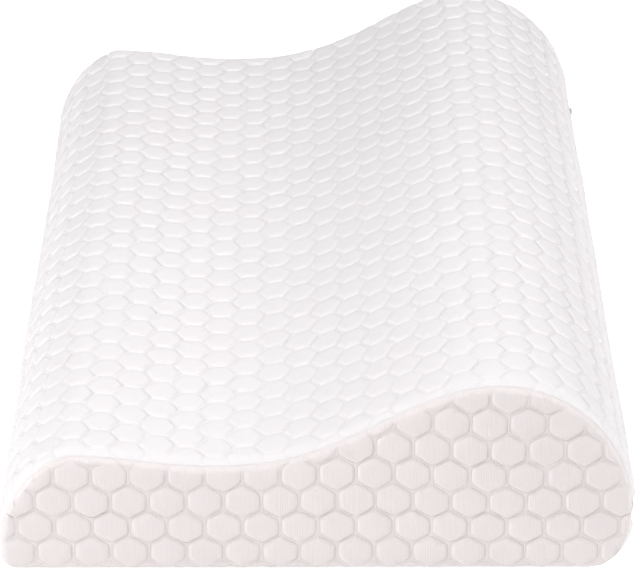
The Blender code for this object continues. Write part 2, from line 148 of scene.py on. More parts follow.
def high_nose(inset):
    """Middle and reach of the ellipse over the high side."""
    middle = widest(HIGH_WIDEST, inset)
    return (HIGH_X - HIGH_CREST_IN, middle), (HIGH_CREST_IN - inset, TOP_Z - inset - middle)


def high_corner(inset):
    """Middle and reach of the ellipse under the high side."""
    middle = widest(HIGH_WIDEST, inset)
    corner = max(HIGH_CORNER - inset, LEAST_CORNER)
    return (HIGH_X - inset - corner, middle), (corner, middle - inset)


def outline(inset, from_zip, finish=1.0):
    """The section at one inset as (x, z) points, from above the zip over the top and back to below it.

    from_zip is how far above and below the zip's middle it starts and ends.
    """
    def steps(start, end, count):
        return np.linspace(start, end, max(int(count * finish), 2) + 1)

    nose_start = math.asin(from_zip / high_nose(0)[1][1])
    corner_end = math.asin(from_zip / high_corner(0)[1][1])
    high_crest, low_crest, valley = HIGH_X - HIGH_CREST_IN, LOW_X + LOW_CREST_IN, LOW_X + VALLEY_IN
    rise = steps(high_crest, valley, 90)[1:]
    share = ((rise - valley) / (high_crest - valley)) ** RISE_LAG
    rise_z = VALLEY - inset + (TOP_Z - VALLEY) * (1 - np.cos(np.pi * share)) / 2
    dip = steps(valley, low_crest, 50)[1:-1]
    share = (valley - dip) / (valley - low_crest)
    dip_z = VALLEY - inset + (LOW_TOP - VALLEY) * (1 - np.cos(np.pi * share)) / 2
    low_middle = widest(LOW_WIDEST, inset)
    low_reach = (LOW_CREST_IN - inset, LOW_TOP - inset - low_middle)
    corner = max(LOW_CORNER - inset, LEAST_CORNER)
    corner_x = LOW_X + inset + corner
    floor = steps(corner_x, high_corner(inset)[0][0], 120)[1:-1]
    return np.vstack((
        arc(*high_nose(inset), steps(nose_start, QUARTER, 60)),
        np.column_stack((rise, rise_z)),
        np.column_stack((dip, dip_z)),
        arc((low_crest, low_middle), low_reach, steps(QUARTER, 2 * QUARTER, 50), LOW_NOSE_FULLNESS),
        arc((corner_x, inset + corner), (corner, corner), steps(2 * QUARTER, 3 * QUARTER, 20)),
        np.column_stack((floor, np.full(len(floor), inset))),
        arc(*high_corner(inset), steps(-QUARTER, -corner_end, 30)),
    ))


def outward(points):
    """The way out of the section at each of its points."""
    along = np.gradient(points, axis=0)
    along /= np.linalg.norm(along, axis=1)[:, None]
    return np.column_stack((along[:, 1], -along[:, 0]))


def smooth_step(share):
    """From 0 to 1 with a level start and end."""
    share = np.clip(share, 0, 1)
    return share * share * (3 - 2 * share)


def hemmed_path(inset):
    """The cover's outer face round the section, with a half round fold at each hem: points and ways out."""
    face = outline(inset, OPENING_HALF + CLOTH)
    way = outward(face)
    turns = np.linspace(np.pi, 0, 17)[:-1, None]

    def fold(point, out, towards_zip):
        radial = np.cos(turns) * out + np.sin(turns) * towards_zip
        return point - CLOTH * out + CLOTH * radial, radial

    upper, upper_way = fold(face[0], way[0], np.array((way[0][1], -way[0][0])))
    lower, lower_way = fold(face[-1], way[-1], np.array((-way[-1][1], way[-1][0])))
    return np.vstack((upper, face, lower[::-1])), np.vstack((upper_way, way, lower_way[::-1]))


def lengths_along(points):
    """How far along a line of points each point lies."""
    return np.concatenate(([0.0], np.cumsum(np.linalg.norm(np.diff(points, axis=0), axis=1))))


FACE_PATH, FACE_WAY = hemmed_path(0.0)
TURNED_PATH, TURNED_WAY = hemmed_path(END_INSET)
ROUND = lengths_along(FACE_PATH)
ROUND_LENGTH = ROUND[-1]
FOLD_LENGTH = math.pi * CLOTH


def on_section(where, turned):
    """Points and ways out at arc lengths where, turned in by that share of the end seam's inset."""
    point, way = [], []
    for i in range(2):
        outer, inner = np.interp(where, ROUND, FACE_PATH[:, i]), np.interp(where, ROUND, TURNED_PATH[:, i])
        point.append(outer + (inner - outer) * turned)
        outer, inner = np.interp(where, ROUND, FACE_WAY[:, i]), np.interp(where, ROUND, TURNED_WAY[:, i])
        way.append(outer + (inner - outer) * turned)
    way = np.column_stack(way)
    return np.column_stack(point), way / np.linalg.norm(way, axis=1)[:, None]


def turned_in(along):
    """How far the wrap has turned in towards its end seam, as a share of the seam's inset."""
    share = np.clip((np.abs(along) - (WRAP_END - END_TURN)) / END_TURN, 0, 1)
    return share ** 2.3


# ---- meshes

def only(thing):
    """Select this object alone and make it the active one."""
    bpy.ops.object.select_all(action="DESELECT")
    thing.select_set(True)
    bpy.context.view_layer.objects.active = thing


def put(name, points, faces):
    """A new object with this mesh."""
    mesh = bpy.data.meshes.new(name)
    mesh.from_pydata(np.asarray(points).tolist(), [], faces)
    thing = bpy.data.objects.new(name, mesh)
    bpy.context.scene.collection.objects.link(thing)
    return thing


def ring(y, points):
    """A loop of (x, z) points at one place along the pillow."""
    return np.column_stack((points[:, 0], np.full(len(points), y), points[:, 1]))


def points_of(mesh):
    flat = np.empty(len(mesh.vertices) * 3)
    mesh.vertices.foreach_get("co", flat)
    return flat.reshape(-1, 3)


def move_points(mesh, points):
    mesh.vertices.foreach_set("co", np.ascontiguousarray(points, dtype=np.float32).ravel())
    mesh.update()


def tidy_faces(thing, angle=None):
    """Faces outwards and smooth, with edges sharper than the angle kept sharp."""
    only(thing)
    bpy.ops.object.mode_set(mode="EDIT")
    bpy.ops.mesh.select_all(action="SELECT")
    bpy.ops.mesh.normals_make_consistent(inside=False)
    bpy.ops.object.mode_set(mode="OBJECT")
    if angle is None:
        bpy.ops.object.shade_smooth()
    else:
        bpy.ops.object.shade_smooth_by_angle(angle=math.radians(angle))


def cloth_marks(mesh, flat, bubble):
    """The cloth's own coordinates in metres as its UV map, and how high on a bubble each point is."""
    corner = np.empty(len(mesh.loops), dtype=np.int32)
    mesh.loops.foreach_get("vertex_index", corner)
    layer = mesh.uv_layers.new(name="cloth")
    layer.data.foreach_set("uv", flat[corner].astype(np.float32).ravel())
    attribute = mesh.attributes.new("bubble", "FLOAT", "POINT")
    attribute.data.foreach_set("value", bubble.astype(np.float32))


def finish(thing, material, slot):
    """The piece's one material, and the body that it belongs to. The slot is not used."""
    thing.data.materials.clear()
    thing.data.materials.append(material)
    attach(thing, "pillow")


# ---- the knit, laid flat

def bubble_rings():
    """One bubble's rings of points round its middle."""
    half, flat, tip = BUBBLE_PITCH / 2, BUBBLE_FLAT / 2, BUBBLE_FLAT / 2 + BUBBLE_TIP
    corners = np.array([(half, -flat), (half, flat), (0, tip), (-half, flat), (-half, -flat), (0, -tip)])
    rim = []
    for corner, following in zip(corners, np.roll(corners, -1, axis=0)):
        rim += [corner + (following - corner) * part / EDGE_PARTS for part in range(EDGE_PARTS)]
    rim = np.array(rim)
    round_rim = rim / np.linalg.norm(rim, axis=1)[:, None] * 1.05 * BUBBLE_RADIUS
    rings = []
    for inward, height, roundness in BUBBLE_RINGS:
        shape = (rim * (1 - roundness) + round_rim * roundness) * (1 - inward / BUBBLE_RADIUS)
        rings.append(np.column_stack((shape, np.full(len(shape), height))))
    return rings


def flat_knit(name, low, high, origin, seed, relief=1.0):
    """The knit laid flat as whole bubbles that cover the rectangle from low to high, (a, b, height).

    Rows of bubbles run along a; relief below 1 flattens them, as a cover stretched over foam does.
    """
    draw = np.random.default_rng(seed)
    rings = bubble_rings()
    count = len(rings[0])
    columns, rows = (
        range(math.floor((low[i] - origin[i]) / step) - 1, math.ceil((high[i] - origin[i]) / step) + 2)
        for i, step in enumerate((BUBBLE_PITCH, BUBBLE_ROW)))
    middles = np.array([(origin[0] + (i + (j % 2) / 2) * BUBBLE_PITCH, origin[1] + j * BUBBLE_ROW)
                        for j in rows for i in columns])
    rims = middles[:, None, :] + rings[0][None, :, :2]
    keys = np.round(rims.reshape(-1, 2) / (0.05 * MM)).astype(np.int64)
    _, first, rim_index = np.unique(keys, axis=0, return_index=True, return_inverse=True)
    rim_index = rim_index.reshape(len(middles), count)
    shared = np.column_stack((rims.reshape(-1, 2)[first], np.full(len(first), rings[0][0, 2])))
    points, faces = [shared], []
    total = len(shared)
    fuller = draw.uniform(0.84, 1.12, len(middles))
    shifted = draw.normal(0.0, 0.16 * MM, (len(middles), 2))
    around = np.arange(count)
    for index, middle in enumerate(middles):
        ring_before = rim_index[index]
        for ring in rings[1:]:
            lifted = ring.copy()
            raised = lifted[:, 2] > -0.5 * MM
            lifted[:, :2] += middle + shifted[index] * (1.0 if raised[0] else 0.4)
            lifted[:, 2] = np.where(raised, lifted[:, 2] * fuller[index], lifted[:, 2])
            points.append(lifted)
            ring_now = total + around
            faces += np.column_stack(
                (ring_before, np.roll(ring_before, -1), np.roll(ring_now, -1), ring_now)).tolist()
            ring_before = ring_now
            total += count
        points.append([(*(middle + shifted[index]), BUBBLE_MIDDLE * fuller[index])])
        faces += np.column_stack((ring_before, np.roll(ring_before, -1), np.full(count, total))).tolist()
        total += 1
    points = np.vstack(points)
    points[:, 2] *= relief
    return put(name, points, faces)


def on_bubble(height):
    """How high on a bubble a point of the knit is, from 0 in the channel to 1 on top."""
    return np.clip((height + CHANNEL_DEPTH) / BUBBLE_RISE, 0, 1)


def soft_unevenness(a, b):
    """The slow rise and fall of a cover pulled over foam by hand, within about a millimetre."""
    waves = ((23.0, 5.0, 0.4, 0.30), (-9.0, 31.0, 1.7, 0.22), (47.0, 19.0, 2.9, 0.16),
             (14.0, -53.0, 4.2, 0.14), (-71.0, 37.0, 0.9, 0.08), (88.0, 61.0, 5.1, 0.06))
    return sum(size * MM * np.sin(along * a + across * b + start) for along, across, start, size in waves)


def seam_pucker(along_seam, from_seam):
    """Small gathers that run in from a sewn seam."""
    wave = np.sin(along_seam * 560 + 1.6 * np.sin(along_seam * 67)) + 0.6 * np.sin(along_seam * 893 + 2.0)
    return 0.17 * MM * wave * np.exp(-np.abs(from_seam) / (4.5 * MM))


def cut_line(bm, axis, value, clear=0):
    """Cut the flat cloth along a line; clear 1 drops what lies above it and -1 what lies below."""
    point, normal = [0.0, 0.0, 0.0], [0.0, 0.0, 0.0]
    point[axis] = value
    normal[axis] = 1.0
    if clear:
        geometry = bm.verts[:] + bm.edges[:] + bm.faces[:]
    else:
        near = [v for v in bm.verts if abs(v.co[axis] - value) < 4 * MM]
        faces = {f for v in near for f in v.link_faces}
        edges = {e for f in faces for e in f.edges}
        geometry = list({v for e in edges for v in e.verts}) + list(edges) + list(faces)
    bmesh.ops.bisect_plane(bm, geom=geometry, dist=0.01 * MM, plane_co=point, plane_no=normal,
                           clear_outer=clear > 0, clear_inner=clear < 0)


def zip_up(front, back):
    """Triangles between two chains of (place along, point number) pairs that run side by side."""
    i = j = 0
    faces = []
    while i < len(front) - 1 or j < len(back) - 1:
        take_front = j == len(back) - 1 or (i < len(front) - 1 and front[i + 1][0] <= back[j + 1][0])
        if take_front:
            faces.append((front[i][1], front[i + 1][1], back[j][1]))
            i += 1
        else:
            faces.append((front[i][1], back[j + 1][1], back[j][1]))
            j += 1
    return faces


def backed_cloth(name, cloth, low, high, back_columns, back_rows):
    """The cut cloth with a plain back on its four edges; gives the flat points and which are the back's."""
    front = points_of(cloth.data)
    faces = [list(p.vertices) for p in cloth.data.polygons]
    total = len(front)
    columns = np.asarray(back_columns)
    rows = np.asarray(back_rows)
    grid_a, grid_b = np.meshgrid(columns, rows, indexing="ij")
    back = np.column_stack((grid_a.ravel(), grid_b.ravel(), np.full(grid_a.size, -CLOTH)))
    number = total + np.arange(grid_a.size).reshape(grid_a.shape)
    faces += np.column_stack((number[:-1, :-1].ravel(), number[:-1, 1:].ravel(),
                              number[1:, 1:].ravel(), number[1:, :-1].ravel())).tolist()
    near = 0.02 * MM
    for axis, edge, behind in ((0, low[0], number[0, :]), (0, high[0], number[-1, :]),
                               (1, low[1], number[:, 0]), (1, high[1], number[:, -1])):
        other = 1 - axis
        places = rows if axis == 0 else columns
        on_edge = np.flatnonzero(np.abs(front[:, axis] - edge) < near)
        on_edge = on_edge[np.argsort(front[on_edge, other])]
        chain = [(front[i, other], int(i)) for i in on_edge]
        faces += zip_up(chain, list(zip(places.tolist(), behind.tolist())))
    points = np.vstack((front, back))
    thing = put(name, points, faces)
    bpy.data.objects.remove(cloth)
    return thing, points, np.arange(len(points)) >= total


PANEL_RIM = outline(END_INSET, 0.01 * MM)
RIM_LENGTHS = lengths_along(np.vstack((PANEL_RIM, PANEL_RIM[:1])))


def nearest_on_rim(points):
    """How far each (x, z) point lies from the panel's rim, and how far round the rim its nearest point is."""
    start, end = PANEL_RIM, np.roll(PANEL_RIM, -1, axis=0)
    along = end - start
    squared = np.maximum((along ** 2).sum(axis=1), 1e-18)
    distance, place = np.empty(len(points)), np.empty(len(points))
    for first in range(0, len(points), 4000):
        part = points[first:first + 4000]
        share = np.clip(((part[:, None, :] - start) * along).sum(axis=2) / squared, 0, 1)
        gap = ((part[:, None, :] - (start + share[:, :, None] * along)) ** 2).sum(axis=2)
        best = gap.argmin(axis=1)
        row = np.arange(len(part))
        distance[first:first + 4000] = np.sqrt(gap[row, best])
        place[first:first + 4000] = RIM_LENGTHS[best] + share[row, best] * np.sqrt(squared[best])
    return distance, place


def on_rim(place):
    """The (x, z) points at these places round the panel's rim."""
    closed = np.vstack((PANEL_RIM, PANEL_RIM[:1]))
    place = np.mod(place, RIM_LENGTHS[-1])
    return np.column_stack([np.interp(place, RIM_LENGTHS, closed[:, i]) for i in range(2)])


def inside_rim(points):
    """Which (x, z) points lie inside the panel's rim."""
    start, end = PANEL_RIM, np.roll(PANEL_RIM, -1, axis=0)
    crossings = np.zeros(len(points), dtype=int)
    for (x0, z0), (x1, z1) in zip(start, end):
        if z0 != z1:
            spans = (points[:, 1] >= min(z0, z1)) & (points[:, 1] < max(z0, z1))
            crossings += spans & (points[:, 0] < x0 + (points[:, 1] - z0) * (x1 - x0) / (z1 - z0))
    return crossings % 2 == 1


def rim_chain(faces, count):
    """The open edges of some quads, each as start and end, walked in order."""
    starts, ends = faces.ravel(), np.roll(faces, -1, axis=1).ravel()
    keys = np.minimum(starts, ends).astype(np.int64) * count + np.maximum(starts, ends)
    _, place, times = np.unique(keys, return_index=True, return_counts=True)
    open_edges = place[times == 1]
    return starts[open_edges], ends[open_edges]


def cut_to_rim(points, faces):
    """Cut flat cloth to the panel's outline: faces inside it stay, and the cut edge is drawn onto the rim.

    Gives the points, the faces and the edge as (place round the rim, point number) pairs.
    """
    faces = faces[inside_rim(points[faces][:, :, :2].mean(axis=1))]
    while True:
        starts, ends = rim_chain(faces, len(points))
        numbers, times = np.unique(starts, return_counts=True)
        pinched = numbers[times > 1]
        if not len(pinched):
            break
        faces = faces[~np.isin(faces, pinched).any(axis=1)]
    following = dict(zip(starts.tolist(), ends.tolist()))
    chains = []
    while following:
        first = here = next(iter(following))
        chain = []
        while here in following:
            chain.append(here)
            here = following.pop(here)
        chains.append(chain)
    chain = np.array(max(chains, key=len))
    _, place = nearest_on_rim(points[chain, :2])
    first = int(place.argmin())
    chain, place = np.roll(chain, -first), np.roll(place, -first)
    place = np.maximum.accumulate(np.where(place < place[0] - 1e-9, place[0], place))
    place += np.arange(len(place)) * 1e-7
    points[chain, :2] = on_rim(place)
    used, faces = np.unique(faces, return_inverse=True)
    renumbered = np.searchsorted(used, chain)
    return points[used], faces.reshape(-1, 4), list(zip(place.tolist(), renumbered.tolist()))


def close_chain(chain, numbers_from=0):
    """The chain with its first point again at the end, one turn on."""
    chain = [(place, number + numbers_from) for place, number in chain]
    return chain + [(chain[0][0] + RIM_LENGTHS[-1], chain[0][1])]


def quads_of(mesh):
    flat = np.empty(len(mesh.loops), dtype=np.int64)
    mesh.loops.foreach_get("vertex_index", flat)
    return flat.reshape(-1, 4)


def settled(points):
    """How the pillow lies: the slope up to the high lobe stands a little fuller at one end."""
    x, y, z = points.T
    slope = np.exp(-((x - SLOPE_X) / (38 * MM)) ** 2) * smooth_step(z / (50 * MM))
    return np.column_stack((x, y, z - y / WRAP_END * SLOPE_SETTLE * slope))


def inflated_cover():
    """The plain cover as one closed skin, puffed out a little by a cloth simulation.

    Gives where its points were and where they are.
    """
    rim = outline(0.0, 0.01 * MM, 0.35)
    count = len(rim)
    ends = [ring(end * (PANEL_BACK + CLOTH), rim) for end in (-1, 1)]
    sides = [(i, (i + 1) % count, (i + 1) % count + count, i + count) for i in range(count)]
    caps = [list(range(count))[::-1], list(range(count, 2 * count))]
    skin = put("cover_skin", np.vstack(ends), sides + caps)
    tidy_faces(skin)
    remesh = skin.modifiers.new("even_faces", "REMESH")
    remesh.mode = "VOXEL"
    remesh.voxel_size = PUFF_FACE
    bpy.ops.object.modifier_apply(modifier="even_faces")
    before = points_of(skin.data)
    from_rim, _ = nearest_on_rim(before[:, [0, 2]])
    sewn = (np.abs(before[:, 1]) > PANEL_BACK - 6 * MM) & (from_rim < 7 * MM)
    zipped = (before[:, 0] > HIGH_X - 8 * MM) & (np.abs(before[:, 2] - HIGH_WIDEST) < 14 * MM)
    resting = before[:, 2] < 3 * MM
    held = skin.vertex_groups.new(name="held")
    held.add(np.flatnonzero(sewn | zipped | resting).tolist(), 1.0, "REPLACE")
    cloth = skin.modifiers.new("puff", "CLOTH")
    cloth.settings.vertex_group_mass = "held"
    cloth.settings.use_pressure = True
    cloth.settings.uniform_pressure_force = PUFF_PRESSURE
    cloth.settings.effector_weights.gravity = 0.0
    cloth.settings.quality = 5
    cloth.point_cache.frame_start, cloth.point_cache.frame_end = 1, PUFF_FRAMES
    for step in range(1, PUFF_FRAMES + 1):
        bpy.context.scene.frame_set(step)
    only(skin)
    bpy.ops.object.modifier_apply(modifier="puff")
    after = points_of(skin.data)
    bpy.context.scene.frame_set(1)
    bpy.data.objects.remove(skin)
    return before, after


class Puff:
    """The simulated puff of the cover, read at any place on it."""

    def __init__(self):
        self.before, self.after = inflated_cover()
        self.tree = KDTree(len(self.before))
        for number, point in enumerate(self.before):
            self.tree.insert(point, number)
        self.tree.balance()

    def at(self, point):
        near = self.tree.find_n(point, 6)
        weights = np.array([1 / (distance + 1 * MM) ** 2 for _, _, distance in near])
        moves = np.array([self.after[number] - self.before[number] for _, number, _ in near])
        return (moves * weights[:, None]).sum(axis=0) / weights.sum()

    def map(self, place, first, second):
        """The puff at a grid of places, as a function of the grid's two measures."""
        moves = np.array([[self.at(place(a, b)) for b in second] for a in first])

        def read(a, b):
            a = np.clip((a - first[0]) / (first[1] - first[0]), 0, len(first) - 1.001)
            b = np.clip((b - second[0]) / (second[1] - second[0]), 0, len(second) - 1.001)
            i, j = a.astype(int), b.astype(int)
            fa, fb = (a - i)[:, None], (b - j)[:, None]
            return ((moves[i, j] * (1 - fa) + moves[i + 1, j] * fa) * (1 - fb)
                    + (moves[i, j + 1] * (1 - fa) + moves[i + 1, j + 1] * fa) * fb)
        return read


PUFF = Puff()


def end_bulge(x, z, end, from_rim):
    """How far an end panel stands out from its rim, towards its middle."""
    if PUFF is None:
        return CROWN * (1 - (1 - np.clip(from_rim / CROWN_REACH, 0, 1)) ** 2)
    across, up = np.arange(LOW_X, HIGH_X + 5 * MM, 5 * MM), np.arange(0.0, TOP_Z + 5 * MM, 5 * MM)
    read = PUFF.map(lambda a, b: (a, end * (PANEL_BACK + CLOTH), b), across, up)
    puff = np.maximum(end * read(x, z)[:, 1], 0.0)
    bulge = 1.15 * CROWN * np.tanh(puff / (0.8 * CROWN))
    return bulge * smooth_step(from_rim / (9 * MM) + 0.12) ** 0.7


def wrap_puff(along, around):
    """How far the wrap stands out from its foam, less its mean, within a cap."""
    if PUFF is None:
        return np.zeros(len(along))
    first, second = np.linspace(-WRAP_END, WRAP_END, 50), np.linspace(0, ROUND_LENGTH, 90)

    def place(a, b):
        point, _ = on_section(np.array([b]), np.array([0.0]))
        return (point[0, 0], a, point[0, 1])
    read = PUFF.map(place, first, second)
    _, way = on_section(around, np.zeros(len(around)))
    moved = read(along, around)
    puff = moved[:, 0] * way[:, 0] + moved[:, 2] * way[:, 1]
    return 1.6 * MM * np.tanh(puff / (4 * MM)) - 0.5 * MM


# ---- the cover

def cover_wrap(material):
    """The long piece of knit, wrapped round the section from one hem to the other."""
    low, high = (-WRAP_END, 0.0), (WRAP_END, ROUND_LENGTH)
    cloth = flat_knit("wrap_cloth", low, high, (0.0, ROUND_LENGTH / 2), 11, WRAP_RELIEF)
    bm = bmesh.new()
    bm.from_mesh(cloth.data)
    for axis in (0, 1):
        cut_line(bm, axis, high[axis], 1)
        cut_line(bm, axis, low[axis], -1)
    for inward in (0.6, 1.4, 2.4, 3.6, 5.2, 7.0):
        cut_line(bm, 0, high[0] - inward * MM)
        cut_line(bm, 0, low[0] + inward * MM)
    stitch_line = FOLD_LENGTH / 2 + HEM_STITCH_IN
    hem_lines = [part * FOLD_LENGTH / 8 for part in range(1, 8)]
    hem_lines += [stitch_line - 0.9 * MM, stitch_line, stitch_line + 0.9 * MM]
    for line in hem_lines:
        cut_line(bm, 1, line)
        cut_line(bm, 1, high[1] - line)
    bm.to_mesh(cloth.data)
    bm.free()

    columns = np.concatenate((np.linspace(low[0], low[0] + END_TURN, 6),
                              np.linspace(low[0] + END_TURN, high[0] - END_TURN, 62)[1:-1],
                              np.linspace(high[0] - END_TURN, high[0], 6)))
    hem = FOLD_LENGTH / 2 + HEM_DEPTH
    clear = hem + 1.2 * MM
    rows = np.concatenate((np.linspace(0, hem, 9), np.linspace(clear, ROUND_LENGTH - clear, 170),
                           np.linspace(ROUND_LENGTH - hem, ROUND_LENGTH, 9)))
    wrap, flat, is_back = backed_cloth("pillow_cover_wrap", cloth, low, high, columns, rows)
    along, around, height = flat.T
    cloth_marks(wrap.data, flat[:, :2], on_bubble(height))

    # the relief settles towards the end seams, the hems and the sewn lines
    from_end = WRAP_END - np.abs(along)
    from_hem = np.minimum(around, ROUND_LENGTH - around)
    relief = height * (0.35 + 0.65 * smooth_step(from_end / (9 * MM)))
    relief *= 0.45 + 0.55 * smooth_step((from_hem - FOLD_LENGTH / 2) / (14 * MM))
    relief -= 0.55 * MM * np.exp(-((from_hem - stitch_line) / (0.9 * MM)) ** 2)
    relief += seam_pucker(around, from_end)
    relief += (soft_unevenness(along, around) + wrap_puff(along, around)) * smooth_step(from_end / (25 * MM))
    turned = turned_in(along)
    relief -= 0.5 * MM * np.clip(1 - from_end / (1.4 * MM), 0, 1) ** 2

    # behind, the cloth is doubled at the hems; the fold itself ends where the doubled part begins
    from_fold = from_hem - FOLD_LENGTH
    hem_back = HEM_DEPTH - CLOTH
    doubled = (from_fold < hem_back) & is_back
    inner = np.where(is_back, -CLOTH, relief)
    inner = np.where(doubled & (from_fold >= 0), -2 * CLOTH, inner)
    in_fold = is_back & (from_fold < 0)
    upper = around < ROUND_LENGTH / 2
    face_place = np.where(in_fold, np.where(upper, FOLD_LENGTH, ROUND_LENGTH - FOLD_LENGTH), around)
    section, way = on_section(face_place, turned)
    section = section + way * inner[:, None]
    fold_point, fold_way = on_section(around, turned)
    folded = fold_point + fold_way * relief[:, None]
    # the back in the fold runs along the hem's inner face
    share = np.clip(from_hem / FOLD_LENGTH, 0, 1)[:, None]
    hem_face, hem_way = on_section(np.where(upper, FOLD_LENGTH, ROUND_LENGTH - FOLD_LENGTH), turned)
    inner_end = hem_face - hem_way * 2 * CLOTH
    start_point, _ = on_section(np.where(upper, 0.0, ROUND_LENGTH), turned)
    hem_inner = start_point + (inner_end - start_point) * share
    place = np.where(is_back[:, None], section, folded)
    place = np.where(in_fold[:, None], hem_inner - hem_way * 0.15 * MM * share, place)
    z = np.where(is_back, place[:, 1], np.maximum(place[:, 1], 0.0))
    move_points(wrap.data, settled(np.column_stack((place[:, 0], along, z))))
    tidy_faces(wrap)
    finish(wrap, material, "cover_knit")
    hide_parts("cover_wrap")


def cover_end(name, node, end, material, seed):
    """An end panel: the knit cut to the section, bulging, with its rim rolled into the seam."""
    low, high = PANEL_RIM.min(axis=0), PANEL_RIM.max(axis=0)
    cloth = flat_knit("panel_cloth", low, high, (0.0, 11.7 * MM), seed)
    only(cloth)
    finer = cloth.modifiers.new("finer", "SUBSURF")
    finer.levels = finer.render_levels = 1
    bpy.ops.object.modifier_apply(modifier="finer")
    front, front_faces, front_edge = cut_to_rim(points_of(cloth.data), quads_of(cloth.data))
    bpy.data.objects.remove(cloth)
    across = np.arange(low[0] - 6 * MM, high[0] + 6 * MM, 5 * MM)
    up = np.arange(-6 * MM, high[1] + 6 * MM, 5 * MM)
    grid = np.arange(len(across) * len(up)).reshape(len(across), len(up))
    plain = np.array([(x, z, -CLOTH) for x in across for z in up])
    squares = np.column_stack([part.ravel() for part in
                               (grid[:-1, :-1], grid[1:, :-1], grid[1:, 1:], grid[:-1, 1:])])
    back, back_faces, back_edge = cut_to_rim(plain, squares)
    faces = front_faces.tolist() + (back_faces[:, ::-1] + len(front)).tolist()
    faces += zip_up(close_chain(front_edge), close_chain(back_edge, len(front)))
    flat = np.vstack((front, back))
    panel = put(name, flat, faces)

    is_back = np.arange(len(flat)) >= len(front)
    from_rim, round_rim = nearest_on_rim(flat[:, :2])
    cloth_marks(panel.data, flat[:, :2], on_bubble(flat[:, 2]))
    bulge = end_bulge(flat[:, 0], flat[:, 1], end, from_rim)
    roll = np.clip(1 - from_rim / (2.2 * MM), 0, 1)
    rolled = 2.1 * MM * (1 - np.sqrt(1 - roll ** 2))
    relief = flat[:, 2] * (0.1 + 0.9 * smooth_step(from_rim / (6 * MM)))
    relief += soft_unevenness(flat[:, 0], flat[:, 1]) * 0.8 * smooth_step(from_rim / (20 * MM))
    # the gathers die out where the measure round the rim starts over
    from_start = np.minimum(round_rim, RIM_LENGTHS[-1] - round_rim)
    relief += seam_pucker(round_rim, from_rim) * smooth_step(from_start / (8 * MM))
    front_y = np.maximum(PANEL_BACK + CLOTH + bulge - rolled + relief, PANEL_BACK + 0.2 * MM + 0.5 * bulge)
    out = np.where(is_back, PANEL_BACK + bulge, front_y)
    move_points(panel.data, settled(np.column_stack((flat[:, 0], end * out, flat[:, 1]))))
    tidy_faces(panel, 50)
    finish(panel, material, "end_panel_knit")
    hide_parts(node)


# ---- the layers inside

def core_outline(inset, finish=0.7):
    """The section of the core at one inset, with its high side flattened behind the zip."""
    points = outline(inset, 0.01 * MM, finish)
    limit = HIGH_X - (CORE_SIDE_IN + inset - LINER_INSET)
    points[:, 0] -= SIDE_BLEND * np.log1p(np.exp((points[:, 0] - limit) / SIDE_BLEND))
    return points


def rounded_end(end, plane, inset, radius, steps=9):
    """Rings round one end of the core, from its straight side over the rounded edge to its face."""
    rings = []
    for angle in np.linspace(0.0, QUARTER, steps):
        here = inset + radius * (1 - math.cos(angle))
        crown = CORE_CROWN * (1 - (1 - min((here - END_INSET) / CROWN_REACH, 1.0)) ** 2)
        rings.append(ring(end * (plane + crown - radius * (1 - math.sin(angle))), core_outline(here)))
    return rings


def loft(name, rings, closed=False):
    """A solid drawn through rings of points: capped at both ends, or closed into a tube."""
    count, total = len(rings[0]), len(rings)
    number = np.arange(count * total).reshape(total, count)
    faces = []
    for i in range(total if closed else total - 1):
        first, second = number[i], number[(i + 1) % total]
        faces += np.column_stack((np.roll(first, 1), first, second, np.roll(second, 1))).tolist()
    if not closed:
        faces += [number[0].tolist(), number[-1][::-1].tolist()]
    points = np.vstack(rings)
    thing = put(name, points, faces)
    around = lengths_along(rings[total // 2][:, [0, 2]])
    apart = np.repeat(np.arange(total) % 2, count) * 1e-5
    flat = np.column_stack((points[:, 1] + apart, np.tile(around, total)))
    cloth_marks(thing.data, flat, np.ones(len(points)))
    move_points(thing.data, settled(points))
    tidy_faces(thing, 45)
    return thing


def foam_core(material):
    """The moulded foam, with rounded end edges."""
    near = rounded_end(-1, FOAM_END, FOAM_INSET, FOAM_EDGE)
    far = rounded_end(1, FOAM_END, FOAM_INSET, FOAM_EDGE)
    between = [ring(y, core_outline(FOAM_INSET)) for y in np.linspace(near[0][0, 1], far[0][0, 1], 24)[1:-1]]
    foam = loft("moulded_foam_core", near[::-1] + between + far)
    finish(foam, material, "memory_foam")
    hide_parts("foam_core")


def liner(material):
    """The thin jersey over the foam: a tube, and a cup on each rounded end."""
    edge = FOAM_EDGE + LINER + LAYER_GAP
    half = rounded_end(1, LINER_END, LINER_INSET, edge)[0][0, 1] - 0.3 * MM
    places = np.linspace(-half, half, 24)
    rings = [ring(y, core_outline(LINER_INSET)) for y in places]
    rings += [ring(y, core_outline(LINER_INSET + LINER)) for y in places[::-1]]
    tube = loft("liner_tube", rings, closed=True)
    finish(tube, material, "liner_jersey")
    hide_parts("liner_wrap")
    girth = lengths_along(core_outline(LINER_INSET))[-1]
    for place, end in (("near", -1), ("far", 1)):
        outer = rounded_end(end, LINER_END, LINER_INSET, edge)
        inner = rounded_end(end, LINER_END - LINER, LINER_INSET + LINER, edge - LINER)
        cup = loft("liner_cup_" + place, outer[::-1] + inner)
        finish(cup, material, "liner_jersey")
        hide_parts("liner_end_" + place)


